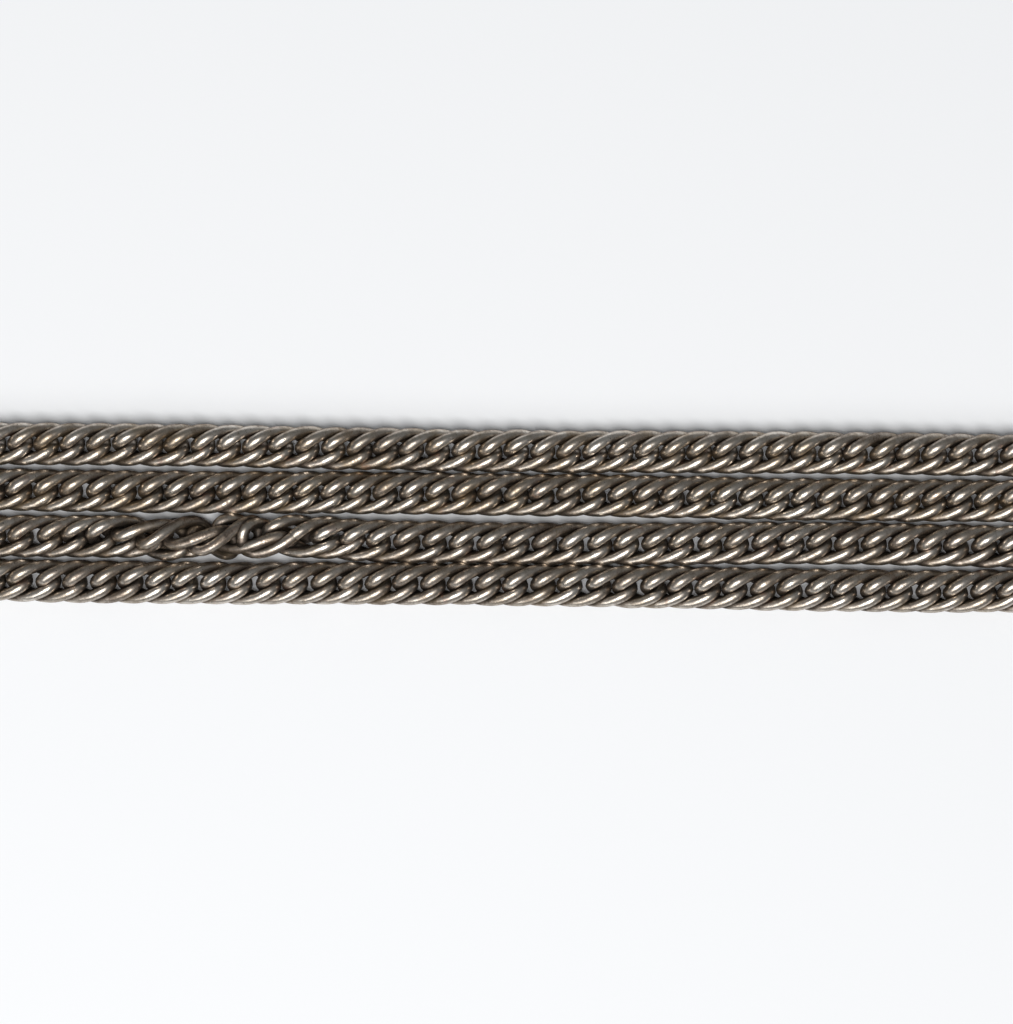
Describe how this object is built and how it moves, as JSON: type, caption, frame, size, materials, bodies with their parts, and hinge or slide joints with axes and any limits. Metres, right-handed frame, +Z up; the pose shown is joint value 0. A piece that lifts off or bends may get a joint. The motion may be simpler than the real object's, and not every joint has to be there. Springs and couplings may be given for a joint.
{
  "type": "pocket watch chain",
  "caption": "Double curb-link pocket watch chain with oval joining links, a T-bar on a short drop and a sprung swivel clip at each end.",
  "frame": {"origin": "centre of the bounding box, on the surface that the chain lies on", "axes": "+X along the four lengths, away from the T-bar; +Y across them, toward the first length; +Z up"},
  "size_m": [0.1468, 0.022, 0.0048],
  "materials": {
    "chain_closed": "worn, tarnished silver with dark crevices, slightly golden",
    "chain_drawn": "worn, tarnished silver with dark crevices",
    "links": "worn, tarnished silver",
    "tbar": "turned silver, rubbed bright",
    "swivel": "cast and filed silver, worn",
    "spring_steel": "dull spring steel"
  },
  "bodies": {
    "centre": {"centre_link": "links"},
    "drop": {"drop_chain": "chain_closed"},
    "drop_link": {"drop_link": "links"},
    "tbar": {"tbar_shank": "tbar", "tbar_bar": "tbar"},
    "strand_1_a": {"strand_1_a": "chain_closed"},
    "strand_1_b": {"strand_1_b": "chain_closed"},
    "strand_1_c": {"strand_1_c": "chain_closed"},
    "strand_1_d": {"strand_1_d": "chain_closed"},
    "strand_1_e": {"strand_1_e": "chain_closed"},
    "strand_1_f": {"strand_1_f": "chain_closed"},
    "strand_2_a": {"strand_2_a": "chain_closed"},
    "strand_2_b": {"strand_2_b": "chain_closed"},
    "strand_2_c": {"strand_2_c": "chain_closed"},
    "strand_2_d": {"strand_2_d": "chain_closed"},
    "strand_2_e": {"strand_2_e": "chain_closed"},
    "strand_2_f": {"strand_2_f": "chain_closed"},
    "strand_3_a": {"strand_3_a": "chain_drawn"},
    "strand_3_b": {"strand_3_b": "chain_drawn"},
    "strand_3_c": {"strand_3_c": "chain_drawn"},
    "strand_3_d": {"strand_3_d": "chain_drawn"},
    "strand_3_e": {"strand_3_e": "chain_drawn"},
    "strand_4_a": {"strand_4_a": "chain_drawn"},
    "strand_4_b": {"strand_4_b": "chain_drawn"},
    "strand_4_c": {"strand_4_c": "chain_drawn"},
    "strand_4_d": {"strand_4_d": "chain_drawn"},
    "strand_4_e": {"strand_4_e": "chain_drawn"},
    "fold_link_upper": {"fold_link_upper": "links"},
    "end_link_upper": {"end_link_upper": "links"},
    "swivel_eye_upper": {"swivel_eye_upper": "swivel"},
    "hook_upper": {"swivel_hook_upper": "swivel", "gate_pin_upper": "spring_steel", "gate_spring_upper": "spring_steel"},
    "gate_upper": {"gate_upper": "swivel"},
    "fold_link_lower": {"fold_link_lower": "links"},
    "end_link_lower": {"end_link_lower": "links"},
    "swivel_eye_lower": {"swivel_eye_lower": "swivel"},
    "hook_lower": {"swivel_hook_lower": "swivel", "gate_pin_lower": "spring_steel", "gate_spring_lower": "spring_steel"},
    "gate_lower": {"gate_lower": "swivel"}
  },
  "joints": [
    {"name": "gate_open_upper", "type": "hinge", "parent": "hook_upper", "child": "gate_upper", "pos_m": [-0.05901, 0.00975, 0.00168], "axis": [0, 0, 1], "range_deg": [0, 22], "stiffness_Nm_per_rad": 0.002, "springref_deg": -17.19},
    {"name": "gate_open_lower", "type": "hinge", "parent": "hook_lower", "child": "gate_lower", "pos_m": [-0.0593, -0.0096, 0.00168], "axis": [0, 0, -1], "range_deg": [0, 22], "stiffness_Nm_per_rad": 0.002, "springref_deg": -17.19},
    {"name": "swivel_turn_upper", "type": "hinge", "parent": "swivel_eye_upper", "child": "hook_upper", "pos_m": [-0.05401, 0.00685, 0.00168], "axis": [1, 0, 0], "continuous": true},
    {"name": "swivel_turn_lower", "type": "hinge", "parent": "swivel_eye_lower", "child": "hook_lower", "pos_m": [-0.0543, -0.0067, 0.00168], "axis": [1, 0, 0], "continuous": true},
    {"name": "tbar_swing", "type": "hinge", "parent": "drop_link", "child": "tbar", "pos_m": [-0.06636, 0, 0.00168], "axis": [0, -1, 0], "range_deg": [-60, 60]},
    {"name": "drop_swing", "type": "hinge", "parent": "centre", "child": "drop", "pos_m": [-0.04518, 0, 0.00168], "axis": [0, 1, 0], "range_deg": [-40, 40]},
    {"name": "swivel_swing_upper", "type": "hinge", "parent": "end_link_upper", "child": "swivel_eye_upper", "pos_m": [-0.05101, 0.00685, 0.00168], "axis": [0, 1, 0], "range_deg": [-60, 60]},
    {"name": "swivel_swing_lower", "type": "hinge", "parent": "end_link_lower", "child": "swivel_eye_lower", "pos_m": [-0.0513, -0.0067, 0.00168], "axis": [0, 1, 0], "range_deg": [-60, 60]},
    {"name": "drop_link_swing", "type": "hinge", "parent": "drop", "child": "drop_link", "pos_m": [-0.06236, 0, 0.00168], "axis": [0, 1, 0], "range_deg": [-40, 40]},
    {"name": "strand_2_swing", "type": "hinge", "parent": "centre", "child": "strand_2_a", "pos_m": [-0.04178, 0.00235, 0.00168], "axis": [0, -1, 0], "range_deg": [-25, 25]},
    {"name": "strand_3_swing", "type": "hinge", "parent": "centre", "child": "strand_3_a", "pos_m": [-0.04178, -0.0023, 0.00168], "axis": [0, -1, 0], "range_deg": [-25, 25]},
    {"name": "bend_2_ab", "type": "hinge", "parent": "strand_2_a", "child": "strand_2_b", "pos_m": [-0.02273, 0.00235, 0.00168], "axis": [0, -1, 0], "range_deg": [-6, 6]},
    {"name": "bend_2_bc", "type": "hinge", "parent": "strand_2_b", "child": "strand_2_c", "pos_m": [-0.00443, 0.00235, 0.00168], "axis": [0, -1, 0], "range_deg": [-6, 6]},
    {"name": "bend_2_cd", "type": "hinge", "parent": "strand_2_c", "child": "strand_2_d", "pos_m": [0.01388, 0.00235, 0.00168], "axis": [0, -1, 0], "range_deg": [-6, 6]},
    {"name": "bend_2_de", "type": "hinge", "parent": "strand_2_d", "child": "strand_2_e", "pos_m": [0.03218, 0.00235, 0.00168], "axis": [0, -1, 0], "range_deg": [-6, 6]},
    {"name": "bend_2_ef", "type": "hinge", "parent": "strand_2_e", "child": "strand_2_f", "pos_m": [0.05049, 0.00235, 0.00168], "axis": [0, -1, 0], "range_deg": [-6, 6]},
    {"name": "fold_swing_upper", "type": "hinge", "parent": "strand_2_f", "child": "fold_link_upper", "pos_m": [0.06953, 0.0046, 0.00168], "axis": [0, -1, 0], "range_deg": [-25, 25]},
    {"name": "strand_1_swing", "type": "hinge", "parent": "fold_link_upper", "child": "strand_1_f", "pos_m": [0.06953, 0.00685, 0.00168], "axis": [0, -1, 0], "range_deg": [-25, 25]},
    {"name": "bend_1_fe", "type": "hinge", "parent": "strand_1_f", "child": "strand_1_e", "pos_m": [0.05049, 0.00685, 0.00168], "axis": [0, -1, 0], "range_deg": [-6, 6]},
    {"name": "bend_1_ed", "type": "hinge", "parent": "strand_1_e", "child": "strand_1_d", "pos_m": [0.03218, 0.00685, 0.00168], "axis": [0, -1, 0], "range_deg": [-6, 6]},
    {"name": "bend_1_dc", "type": "hinge", "parent": "strand_1_d", "child": "strand_1_c", "pos_m": [0.01388, 0.00685, 0.00168], "axis": [0, -1, 0], "range_deg": [-6, 6]},
    {"name": "bend_1_cb", "type": "hinge", "parent": "strand_1_c", "child": "strand_1_b", "pos_m": [-0.00443, 0.00685, 0.00168], "axis": [0, -1, 0], "range_deg": [-6, 6]},
    {"name": "bend_1_ba", "type": "hinge", "parent": "strand_1_b", "child": "strand_1_a", "pos_m": [-0.02273, 0.00685, 0.00168], "axis": [0, -1, 0], "range_deg": [-6, 6]},
    {"name": "end_link_swing_upper", "type": "hinge", "parent": "strand_1_a", "child": "end_link_upper", "pos_m": [-0.04701, 0.00685, 0.00168], "axis": [0, 1, 0], "range_deg": [-40, 40]},
    {"name": "bend_3_ab", "type": "hinge", "parent": "strand_3_a", "child": "strand_3_b", "pos_m": [-0.03044, -0.0023, 0.00168], "axis": [0, -1, 0], "range_deg": [-6, 6]},
    {"name": "bend_3_bc", "type": "hinge", "parent": "strand_3_b", "child": "strand_3_c", "pos_m": [0.00858, -0.0023, 0.00168], "axis": [0, -1, 0], "range_deg": [-6, 6]},
    {"name": "bend_3_cd", "type": "hinge", "parent": "strand_3_c", "child": "strand_3_d", "pos_m": [0.03051, -0.0023, 0.00168], "axis": [0, -1, 0], "range_deg": [-8, 8]},
    {"name": "bend_3_de", "type": "hinge", "parent": "strand_3_d", "child": "strand_3_e", "pos_m": [0.04707, -0.0023, 0.00168], "axis": [0, -1, 0], "range_deg": [-8, 8]},
    {"name": "fold_swing_lower", "type": "hinge", "parent": "strand_3_e", "child": "fold_link_lower", "pos_m": [0.06953, -0.0045, 0.00168], "axis": [0, -1, 0], "range_deg": [-25, 25]},
    {"name": "strand_4_swing", "type": "hinge", "parent": "fold_link_lower", "child": "strand_4_e", "pos_m": [0.06953, -0.0067, 0.00168], "axis": [0, -1, 0], "range_deg": [-25, 25]},
    {"name": "bend_4_ed", "type": "hinge", "parent": "strand_4_e", "child": "strand_4_d", "pos_m": [0.04699, -0.0067, 0.00168], "axis": [0, -1, 0], "range_deg": [-8, 8]},
    {"name": "bend_4_dc", "type": "hinge", "parent": "strand_4_d", "child": "strand_4_c", "pos_m": [0.02491, -0.0067, 0.00168], "axis": [0, -1, 0], "range_deg": [-8, 8]},
    {"name": "bend_4_cb", "type": "hinge", "parent": "strand_4_c", "child": "strand_4_b", "pos_m": [0.00283, -0.0067, 0.00168], "axis": [0, -1, 0], "range_deg": [-8, 8]},
    {"name": "bend_4_ba", "type": "hinge", "parent": "strand_4_b", "child": "strand_4_a", "pos_m": [-0.01925, -0.0067, 0.00168], "axis": [0, -1, 0], "range_deg": [-8, 8]},
    {"name": "end_link_swing_lower", "type": "hinge", "parent": "strand_4_a", "child": "end_link_lower", "pos_m": [-0.0473, -0.0067, 0.00168], "axis": [0, 1, 0], "range_deg": [-40, 40]}
  ]
}
